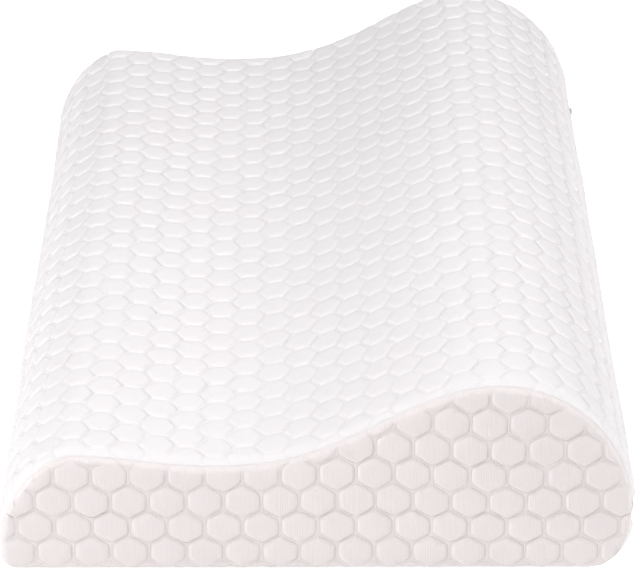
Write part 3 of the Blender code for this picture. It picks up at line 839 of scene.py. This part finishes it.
def seam_allowance(place, end, material):
    """The turned-in edges of the wrap and a panel, overlocked into one narrow frill inside the seam."""
    behind = HIGH_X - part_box("seam_allowance_" + place)[1].x
    inset = END_INSET + CLOTH + 0.3 * MM

    def edge(depth):
        points = outline(inset + depth, 0.01 * MM, 1.3)
        limit = HIGH_X - behind - depth
        points[:, 0] -= SIDE_BLEND * np.log1p(np.exp((points[:, 0] - limit) / SIDE_BLEND))
        return points

    around = lengths_along(edge(0))
    stitch = 0.18 * MM * np.sin(around * 2 * math.pi / (2.6 * MM))
    rings = []
    for depth, across in ((0.25, 0.0), (0.1, 1.0), (0.0, 2.4), (0.2, 4.1), (0.8, 4.5), (1.4, 4.1), (1.6, 2.4),
                          (1.5, 1.0), (1.35, 0.0)):
        loop = ring(0.0, edge(depth * MM))
        loop[:, 1] = end * (WRAP_END - across * MM + np.where(0.5 < across, stitch, 0.0) * (across / 4.5))
        rings.append(loop)
    frill = loft("overlocked_seam_" + place, rings, closed=True)
    finish(frill, material, "seam_thread")
    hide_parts("seam_allowance_" + place)


# ---- the zip

def thread(name, lines, radius, sides=6):
    """Thread or wire of one thickness along lines of points, as one mesh."""
    points, faces, total = [], [], 0
    turn = np.arange(sides) * 2 * math.pi / sides
    for line in lines:
        line = np.asarray(line, dtype=float)
        ahead = np.gradient(line, axis=0)
        ahead /= np.linalg.norm(ahead, axis=1)[:, None]
        aside = np.cross(ahead, np.where(np.abs(ahead[:, :1]) > 0.9, (0.0, 0.0, 1.0), (1.0, 0.0, 0.0)))
        aside /= np.linalg.norm(aside, axis=1)[:, None]
        above = np.cross(aside, ahead)
        tube = line[:, None, :] + radius * (np.cos(turn)[None, :, None] * aside[:, None, :]
                                            + np.sin(turn)[None, :, None] * above[:, None, :])
        number = total + np.arange(tube.shape[0] * sides).reshape(-1, sides)
        points.append(tube.reshape(-1, 3))
        faces += np.column_stack((number[:-1].ravel(), np.roll(number[:-1], -1, axis=1).ravel(),
                                  np.roll(number[1:], -1, axis=1).ravel(), number[1:].ravel())).tolist()
        faces += [number[0][::-1].tolist(), number[-1].tolist()]
        total += number.size
    thing = put(name, np.vstack(points), faces)
    tidy_faces(thing, 60)
    return thing


def zip_coil(place, side, nylon, sewing):
    """One row of the coil: a nylon helix round its cord, heads to the other row, sewn to its tape."""
    low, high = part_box("zip_coil_" + place)
    back = high.z if side > 0 else low.z
    head = HIGH_WIDEST + side * COIL_HEAD_IN
    middle_x, middle_z = (low.x + high.x) / 2, (back + head) / 2
    deep, wide = (high.x - low.x) / 2 - COIL_WIRE, abs(back - head) / 2 - COIL_WIRE
    turns = int((high.y - low.y - 2 * COIL_WIRE) / COIL_PITCH)
    angle = np.arange(turns * 12 + 1) * math.pi / 6
    start = -turns * COIL_PITCH / 2
    y = start + COIL_PITCH * angle / (2 * math.pi) + 0.1 * COIL_PITCH * np.sin(angle)
    flattened = np.sign(np.cos(angle)) * np.abs(np.cos(angle)) ** 0.8
    helix = np.column_stack((middle_x + side * deep * np.sin(angle), y, middle_z - side * wide * flattened))
    cord = [(middle_x, y, middle_z) for y in (low.y + 0.3 * MM, 0.0, high.y - 0.3 * MM)]
    coil = thread("coil_" + place, [helix], COIL_WIRE)
    finish(coil, nylon, "coil_nylon")
    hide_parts("zip_coil_" + place)
    step = np.arange(2 * turns + 1)
    over = middle_x + np.where(step % 2 == 0, deep + COIL_WIRE, 0.15 * MM)
    past = start + step * COIL_PITCH / 2 + 0.2 * MM
    sewn = [np.column_stack((over, past, np.full(len(step), middle_z + shift)))
            for shift in (-0.45 * MM, 0.45 * MM)]
    core = thread("coil_cord_" + place, [cord], 0.36 * MM, 8)
    finish(core, sewing, "seam_thread")
    stitches = thread("coil_sewing_" + place, sewn, 0.13 * MM, 5)
    finish(stitches, sewing, "seam_thread")


def zip_tape(place, side, material):
    """One woven tape behind its hem, with a corded edge by the coil."""
    node = "zip_tape_" + place
    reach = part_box(node)[1].y
    offsets = side * np.concatenate((np.linspace(0.7 * MM, 1.6 * MM, 3), np.linspace(2.2 * MM, 11 * MM, 9)))

    def side_points(inset):
        centre, size = high_nose(inset) if side > 0 else high_corner(inset)
        angle = np.arcsin(offsets / size[1])
        return np.column_stack((centre[0] + size[0] * np.cos(angle), centre[1] + size[1] * np.sin(angle)))

    rings = []
    for y in np.linspace(-reach, reach, 82):
        turned = float(turned_in(np.array([y]))[0]) * END_INSET
        front, back = side_points(turned + TAPE_DEPTH), side_points(turned + TAPE_DEPTH + TAPE_THICKNESS)
        rings.append(ring(y, np.vstack((front, back[::-1]))))
    tape = loft("woven_tape_" + place, rings)
    finish(tape, material, "zip_tape")
    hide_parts(node)


def bartack(place, end, material):
    """Close zigzag stitches over both rows of the coil, where the zip ends."""
    node = "zip_bartack_" + place
    low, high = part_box(node)
    lines = []
    for layer, (lift, inward) in enumerate(((0.25, 0.2), (0.7, 0.45))):
        count = 15 - 3 * layer
        y = np.linspace(low.y + inward * MM, high.y - inward * MM, count)
        for i, here in enumerate(y):
            z = np.linspace(low.z + inward * MM, high.z - inward * MM, 7)
            bow = 1 - (2 * (z - (low.z + high.z) / 2) / (high.z - low.z)) ** 4
            x = low.x + lift * MM * bow + 0.12 * MM
            slant = (z - z.mean()) * (0.03 if i % 2 else -0.03)
            lines.append(np.column_stack((x, here + slant, z)))
    tack = thread("thread_bar_" + place, lines, 0.15 * MM)
    finish(tack, material, "seam_thread")
    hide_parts(node)


def hem_stitching(place, material):
    """The row of lockstitch that holds the hem down on the tape."""
    line = FOLD_LENGTH / 2 + HEM_STITCH_IN
    around = line if place == "upper" else ROUND_LENGTH - line
    point, way = on_section(np.array([around]), np.zeros(1))
    half = WRAP_END - END_TURN
    count = int(2 * half / STITCH)
    stitches = []
    for number in range(count):
        y = (number - count / 2 + 0.5) * STITCH + np.linspace(-0.43, 0.43, 6) * STITCH
        lift = np.array([-1.15, -0.5, -0.3, -0.3, -0.5, -1.15]) * MM
        x, z = point[0, 0] + way[0, 0] * lift, point[0, 1] + way[0, 1] * lift
        stitches.append(settled(np.column_stack((x, y, z))))
    row = thread("hem_stitches_" + place, stitches, 0.24 * MM)
    finish(row, material, "seam_thread")


# ---- finishes

def new_material(name):
    """A new material, with a short way to its nodes, and its shader."""
    material = bpy.data.materials.new(name)
    material.use_nodes = True
    return material, Nodes(material.node_tree), material.node_tree.nodes["Principled BSDF"]


class Nodes:
    """A short way to place nodes and join them."""

    def __init__(self, tree):
        self.tree = tree

    def add(self, kind, **settings):
        node = self.tree.nodes.new(kind)
        for key, value in settings.items():
            setattr(node, key, value)
        return node

    def join(self, value, socket):
        if isinstance(value, bpy.types.NodeSocket):
            self.tree.links.new(value, socket)
        else:
            socket.default_value = value

    def maths(self, operation, *values):
        node = self.add("ShaderNodeMath", operation=operation)
        for value, socket in zip(values, node.inputs):
            self.join(value, socket)
        return node.outputs[0]

    def noise(self, vector, scale, detail=3.0):
        node = self.add("ShaderNodeTexNoise")
        self.join(vector, node.inputs["Vector"])
        node.inputs["Scale"].default_value = scale
        node.inputs["Detail"].default_value = detail
        node.inputs["Roughness"].default_value = 0.5
        return node.outputs["Fac"]

    def range(self, value, from_low, from_high, to_low, to_high):
        node = self.add("ShaderNodeMapRange", clamp=True)
        for given, socket in zip((value, from_low, from_high, to_low, to_high), node.inputs):
            self.join(given, socket)
        return node.outputs[0]

    def mix(self, share, first, second):
        node = self.add("ShaderNodeMix", data_type="RGBA")
        self.join(share, node.inputs[0])
        self.join(first, node.inputs[6])
        self.join(second, node.inputs[7])
        return node.outputs[2]

    def bump(self, height, distance):
        node = self.add("ShaderNodeBump")
        node.inputs["Strength"].default_value = 1.0
        node.inputs["Distance"].default_value = distance
        self.join(height, node.inputs["Height"])
        return node.outputs[0]


def node_group(name, takes, gives):
    """A shader group with named inputs and outputs."""
    group = bpy.data.node_groups.new(name, "ShaderNodeTree")
    for socket_name, kind, value in takes:
        socket = group.interface.new_socket(socket_name, in_out="INPUT", socket_type=kind)
        if value is not None:
            socket.default_value = value
    for socket_name, kind in gives:
        group.interface.new_socket(socket_name, in_out="OUTPUT", socket_type=kind)
    nodes = Nodes(group)
    return group, nodes, nodes.add("NodeGroupInput"), nodes.add("NodeGroupOutput")


def knit_stitch_group():
    """Columns of small V stitches: their height, and a mask of the gaps between them."""
    group, n, given, out = node_group(
        "knit_stitches",
        (("Place", "NodeSocketVector", None), ("Wale", "NodeSocketFloat", 1.15 * MM),
         ("Course", "NodeSocketFloat", 0.9 * MM)),
        (("Height", "NodeSocketFloat"), ("Gap", "NodeSocketFloat")))
    apart = n.add("ShaderNodeSeparateXYZ")
    n.join(given.outputs["Place"], apart.inputs[0])
    wander = n.noise(given.outputs["Place"], 260.0, 2.0)
    across = n.maths("DIVIDE", apart.outputs[0], given.outputs["Wale"])
    across = n.maths("ADD", across, n.maths("MULTIPLY", wander, 0.5))
    from_middle = n.maths("ABSOLUTE", n.maths("SUBTRACT", n.maths("FRACT", across), 0.5))
    from_middle = n.maths("MULTIPLY", from_middle, 2.0)
    wale = n.maths("SUBTRACT", 1.0, n.maths("POWER", from_middle, 2.2))
    up = n.maths("DIVIDE", apart.outputs[1], given.outputs["Course"])
    up = n.maths("ADD", up, n.maths("MULTIPLY", from_middle, 0.55))
    leg = n.maths("ABSOLUTE", n.maths("SINE", n.maths("MULTIPLY", up, math.pi)))
    height = n.maths("MULTIPLY", wale, n.maths("ADD", 0.55, n.maths("MULTIPLY", leg, 0.45)))
    n.join(height, out.inputs["Height"])
    n.join(n.range(height, 0.0, 0.45, 1.0, 0.0), out.inputs["Gap"])
    return group


def soft_blotch_group():
    """Slow and fine variation of a cloth's colour, from 0 to 1."""
    group, n, given, out = node_group(
        "soft_blotches", (("Place", "NodeSocketVector", None),),
        (("Slow", "NodeSocketFloat"), ("Fine", "NodeSocketFloat")))
    n.join(n.range(n.noise(given.outputs["Place"], 11.0, 3.0), 0.3, 0.7, 0.0, 1.0), out.inputs["Slow"])
    n.join(n.range(n.noise(given.outputs["Place"], 900.0, 2.0), 0.25, 0.75, 0.0, 1.0), out.inputs["Fine"])
    return group


KNIT_STITCHES = knit_stitch_group()
SOFT_BLOTCHES = soft_blotch_group()


def placed(n, group, place, **values):
    """A group put into a material, with this material's own values."""
    node = n.add("ShaderNodeGroup", node_tree=group)
    n.join(place, node.inputs["Place"])
    for name, value in values.items():
        node.inputs[name].default_value = value
    return node


def paint(n, shader, colour, roughness, normal):
    """The three things that change over a surface."""
    for socket, value in (("Base Color", colour), ("Roughness", roughness), ("Normal", normal)):
        n.join(value, shader.inputs[socket])


def darker(colour, share):
    return [c * share for c in colour[:3]] + [1.0]


def knit_material(name, bubble_colour, shaded_channel_colour, warm_colour, stitch_depth):
    """Bubble knit: matt yarn in fine columns, with painted shade darkening the channels and the gaps between
    stitches.
    """
    material, n, shader = new_material(name)
    place = n.add("ShaderNodeUVMap", uv_map="cloth").outputs[0]
    stitches = placed(n, KNIT_STITCHES, place)
    blotches = placed(n, SOFT_BLOTCHES, place)
    bubble = n.add("ShaderNodeAttribute", attribute_name="bubble").outputs["Fac"]
    # painted shade: the channels between the bubbles are coloured darker than the bubble tops
    colour = n.mix(n.range(bubble, 0.1, 0.7, 0.0, 1.0), shaded_channel_colour, bubble_colour)
    colour = n.mix(n.maths("MULTIPLY", blotches.outputs["Slow"], 0.55), colour, warm_colour)
    # painted shade: the gaps between the stitches are darkened
    gap = n.maths("MULTIPLY", stitches.outputs["Gap"], 0.30)
    colour = n.mix(gap, colour, darker(shaded_channel_colour, 0.80))
    colour = n.mix(n.maths("MULTIPLY", blotches.outputs["Fine"], 0.12), colour, darker(bubble_colour, 0.9))
    height = n.maths("ADD", stitches.outputs["Height"], n.maths("MULTIPLY", blotches.outputs["Fine"], 0.25))
    roughness = n.range(stitches.outputs["Gap"], 0.0, 1.0, 0.80, 0.95)
    paint(n, shader, colour, roughness, n.bump(height, stitch_depth))
    shader.inputs["Sheen Weight"].default_value = 0.15
    shader.inputs["Sheen Roughness"].default_value = 0.5
    shader.inputs["Specular IOR Level"].default_value = 0.2
    return material


def soft_cloth_material(name, colour, shade, wale, depth, roughness):
    """A plain fine jersey on the cloth's own coordinates."""
    material, n, shader = new_material(name)
    place = n.add("ShaderNodeUVMap", uv_map="cloth").outputs[0]
    stitches = placed(n, KNIT_STITCHES, place, Wale=wale, Course=wale * 0.8)
    blotches = placed(n, SOFT_BLOTCHES, place)
    mixed = n.mix(n.maths("MULTIPLY", blotches.outputs["Slow"], 0.6), (*colour, 1.0), (*shade, 1.0))
    # painted shade: the gaps between the stitches are darkened
    mixed = n.mix(n.maths("MULTIPLY", stitches.outputs["Gap"], 0.35), mixed, darker(shade, 0.8))
    varied = n.range(blotches.outputs["Fine"], 0.0, 1.0, roughness - 0.08, roughness)
    paint(n, shader, mixed, varied, n.bump(stitches.outputs["Height"], depth))
    shader.inputs["Specular IOR Level"].default_value = 0.2
    return material


def tape_material(name):
    """Herringbone tape: two sets of slanting ribs that meet in columns along the tape."""
    material, n, shader = new_material(name)
    place = n.add("ShaderNodeTexCoord").outputs["Object"]
    apart = n.add("ShaderNodeSeparateXYZ")
    n.join(place, apart.inputs[0])
    column = n.maths("DIVIDE", apart.outputs[2], 2.4 * MM)
    lean = n.maths("ABSOLUTE", n.maths("SUBTRACT", n.maths("FRACT", column), 0.5))
    along = n.maths("DIVIDE", apart.outputs[1], 0.8 * MM)
    rib = n.maths("FRACT", n.maths("ADD", along, n.maths("MULTIPLY", lean, 3.0)))
    rib = n.maths("MULTIPLY", n.maths("ABSOLUTE", n.maths("SUBTRACT", rib, 0.5)), 2.0)
    blotches = placed(n, SOFT_BLOTCHES, place)
    # painted shade: the ribs are coloured darker towards their grooves, following the same rib height as the
    # bump
    mixed = n.mix(rib, (0.80, 0.79, 0.79, 1), (0.90, 0.89, 0.89, 1))
    mixed = n.mix(n.maths("MULTIPLY", blotches.outputs["Slow"], 0.4), mixed, (0.80, 0.78, 0.77, 1))
    paint(n, shader, mixed, n.range(blotches.outputs["Fine"], 0.0, 1.0, 0.7, 0.85), n.bump(rib, 0.12 * MM))
    shader.inputs["Specular IOR Level"].default_value = 0.3
    return material


def thread_material(name, colour):
    """Spun thread: fine slanting plies and a little fuzz."""
    material, n, shader = new_material(name)
    place = n.add("ShaderNodeTexCoord").outputs["Object"]
    plies = n.add("ShaderNodeTexWave", wave_type="BANDS", bands_direction="DIAGONAL")
    n.join(place, plies.inputs["Vector"])
    plies.inputs["Scale"].default_value = 900.0
    plies.inputs["Distortion"].default_value = 1.5
    blotches = placed(n, SOFT_BLOTCHES, place)
    # painted shade: the plies are coloured darker in their grooves, following the same bands as the bump
    mixed = n.mix(plies.outputs["Fac"], darker(colour, 0.86), [*colour, 1.0])
    mixed = n.mix(n.maths("MULTIPLY", blotches.outputs["Slow"], 0.3), mixed, darker(colour, 0.92))
    roughness = n.range(blotches.outputs["Fine"], 0.0, 1.0, 0.6, 0.8)
    paint(n, shader, mixed, roughness, n.bump(plies.outputs["Fac"], 0.06 * MM))
    return material


def nylon_material(name):
    """Milky extruded nylon, smoothed where the slider has run over it."""
    material, n, shader = new_material(name)
    place = n.add("ShaderNodeTexCoord").outputs["Object"]
    blotches = placed(n, SOFT_BLOTCHES, place)
    mixed = n.mix(blotches.outputs["Slow"], (0.88, 0.87, 0.865, 1), (0.82, 0.81, 0.80, 1))
    roughness = n.range(blotches.outputs["Fine"], 0.0, 1.0, 0.28, 0.42)
    paint(n, shader, mixed, roughness, n.bump(n.noise(place, 1500.0, 2.0), 0.03 * MM))
    shader.inputs["Subsurface Weight"].default_value = 0.15
    shader.inputs["Subsurface Radius"].default_value = (0.001, 0.001, 0.001)
    return material


def foam_material(name):
    """Moulded memory foam: a pale skin with fine open pores."""
    material, n, shader = new_material(name)
    place = n.add("ShaderNodeTexCoord").outputs["Object"]
    pores = n.add("ShaderNodeTexVoronoi", feature="F1")
    n.join(place, pores.inputs["Vector"])
    pores.inputs["Scale"].default_value = 700.0
    open_pore = n.range(pores.outputs["Distance"], 0.0, 0.35, 1.0, 0.0)
    blotches = placed(n, SOFT_BLOTCHES, place)
    mixed = n.mix(blotches.outputs["Slow"], (0.88, 0.82, 0.64, 1), (0.90, 0.86, 0.72, 1))
    # painted shade: the open pores are coloured darker where they sink in, as the bump does
    mixed = n.mix(n.maths("MULTIPLY", open_pore, 0.4), mixed, (0.72, 0.64, 0.46, 1))
    paint(n, shader, mixed, n.range(open_pore, 0.0, 1.0, 0.85, 1.0), n.bump(open_pore, -0.2 * MM))
    return material


def metal_material(name, wear):
    """Plated zinc with fine rubbing marks, brighter and smoother where fingers and thread polish it."""
    material, n, shader = new_material(name)
    place = n.add("ShaderNodeTexCoord").outputs["Object"]
    stretched = n.add("ShaderNodeMapping")
    n.join(place, stretched.inputs["Vector"])
    stretched.inputs["Scale"].default_value = (1.0, 0.12, 1.0)
    rubbed = n.noise(stretched.outputs[0], 2600.0, 3.0)
    dull = n.noise(place, 240.0, 2.0)
    mixed = n.mix(n.range(dull, 0.35, 0.65, 0.0, wear), (0.80, 0.80, 0.81, 1), (0.62, 0.61, 0.60, 1))
    paint(n, shader, mixed, n.range(rubbed, 0.3, 0.7, 0.16, 0.34), n.bump(rubbed, 0.01 * MM))
    shader.inputs["Metallic"].default_value = 1.0
    return material


# ---- making the pillow

def make_pillow():
    """Every piece with its finish, from the foam out."""
    knit = knit_material(
        "bubble_knit", (0.86, 0.845, 0.855, 1), (0.845, 0.828, 0.838, 1), (0.85, 0.825, 0.84, 1), 0.12 * MM)
    # painted shade: the end panels are the same knit as the wrap, coloured darker and warmer for the shade on
    # their upright faces
    shaded_end_knit = knit_material(
        "shaded_end_knit", (0.835, 0.79, 0.785, 1), (0.825, 0.778, 0.772, 1), (0.83, 0.775, 0.772, 1), 0.10 * MM)
    jersey = soft_cloth_material(
        "liner_jersey", (0.88, 0.87, 0.84), (0.84, 0.82, 0.79), 0.8 * MM, 0.08 * MM, 0.92)
    seam_cloth = soft_cloth_material(
        "overlocked_edge", (0.82, 0.79, 0.79), (0.77, 0.74, 0.74), 1.3 * MM, 0.15 * MM, 0.85)
    sewing = thread_material("sewing_thread", (0.85, 0.83, 0.83))
    nylon = nylon_material("coil_nylon")
    tape = tape_material("herringbone_tape")
    for node, wear in (("zip_slider", 0.5), ("zip_pull", 0.8)):
        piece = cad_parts[node]
        piece.data.materials.clear()
        piece.data.materials.append(metal_material(node + "_metal", wear))

    foam_core(foam_material("memory_foam"))
    liner(jersey)
    cover_wrap(knit)
    for place, end, seed in (("near", -1, 21), ("far", 1, 22)):
        cover_end("pillow_cover_end_" + place, "cover_end_" + place, end, shaded_end_knit, seed)
        seam_allowance(place, end, seam_cloth)
        bartack(place, end, sewing)
    for place, side in (("upper", 1), ("lower", -1)):
        zip_tape(place, side, tape)
        zip_coil(place, side, nylon, sewing)
        hem_stitching(place, sewing)


make_pillow()


# ---- floor, light and camera

def studio():
    """A pale sweep and wall, six soft lights and the camera."""
    bpy.ops.object.select_all(action="DESELECT")
    bpy.ops.mesh.primitive_plane_add(size=8.0, location=(0.0, 1.0, -0.0002))
    floor = bpy.context.object
    floor.name = "studio_floor"
    material, n, shader = new_material("studio_floor")
    place = n.add("ShaderNodeTexCoord").outputs["Object"]
    colour = n.mix(n.noise(place, 3.0), (0.93, 0.93, 0.93, 1.0), (0.95, 0.95, 0.95, 1.0))
    n.join(colour, shader.inputs["Base Color"])
    shader.inputs["Roughness"].default_value = 0.9
    shader.inputs["Emission Color"].default_value = (1.0, 1.0, 1.0, 1.0)
    # the sweep is lit from behind: brighter to the eye than the light it throws on the pillow
    seen = n.add("ShaderNodeLightPath").outputs["Is Camera Ray"]
    n.join(n.maths("MULTIPLY_ADD", seen, 0.5, 0.17), shader.inputs["Emission Strength"])
    floor.data.materials.append(material)

    world = bpy.data.worlds.new("studio")
    world.use_nodes = True
    background = world.node_tree.nodes["Background"]
    background.inputs["Color"].default_value = (1.0, 0.985, 0.99, 1.0)
    # the wall is as bright to the eye as the sweep, and gives only a soft fill
    n = Nodes(world.node_tree)
    seen = n.add("ShaderNodeLightPath").outputs["Is Camera Ray"]
    n.join(n.maths("MULTIPLY_ADD", seen, 0.78, 0.20), background.inputs["Strength"])
    bpy.context.scene.world = world

    for name, place, aim, size, power, colour in (
            ("left_softbox", (-1.4, -0.3, 1.2), (0.0, -0.05, 0.04), 1.0, 12.5, (1.0, 0.99, 0.995)),
            ("front_key", (-1.1, -1.3, 1.4), (0.0, -0.2, 0.04), 0.3, 13.5, (1.0, 0.985, 0.985)),
            ("near_softbox", (-0.2, -1.0, 1.3), (0.0, -0.05, 0.04), 0.5, 3.5, (1.0, 0.985, 0.99)),
            ("right_softbox", (1.6, -0.2, 1.0), (0.0, -0.05, 0.04), 1.0, 19.5, (1.0, 0.985, 0.99)),
            ("top_softbox", (0.0, 0.1, 2.2), (0.0, -0.05, 0.04), 1.2, 4.5, (1.0, 0.99, 0.995)),
            ("back_softbox", (0.0, 2.2, 1.4), (0.0, -0.05, 0.04), 1.2, 3.0, (1.0, 0.99, 0.995))):
        light = bpy.data.lights.new(name, "AREA")
        light.shape = "DISK"
        light.size = size
        light.energy = power
        light.color = colour
        lamp = bpy.data.objects.new(name, light)
        lamp.location = place
        lamp.rotation_euler = (Vector(aim) - Vector(place)).to_track_quat("-Z", "Y").to_euler()
        bpy.context.scene.collection.objects.link(lamp)

    camera = bpy.data.objects.new("camera", bpy.data.cameras.new("camera"))
    camera.data.lens = 193.9
    camera.data.sensor_width = 36.0
    camera.data.clip_end = 30.0
    camera.location = (-0.0047, -1.6358, 0.8450)
    camera.rotation_euler = (math.radians(90 - 26.585), 0.0, math.radians(-0.225))
    bpy.context.scene.collection.objects.link(camera)
    bpy.context.scene.camera = camera
    bpy.context.scene.view_settings.view_transform = "Standard"


studio()
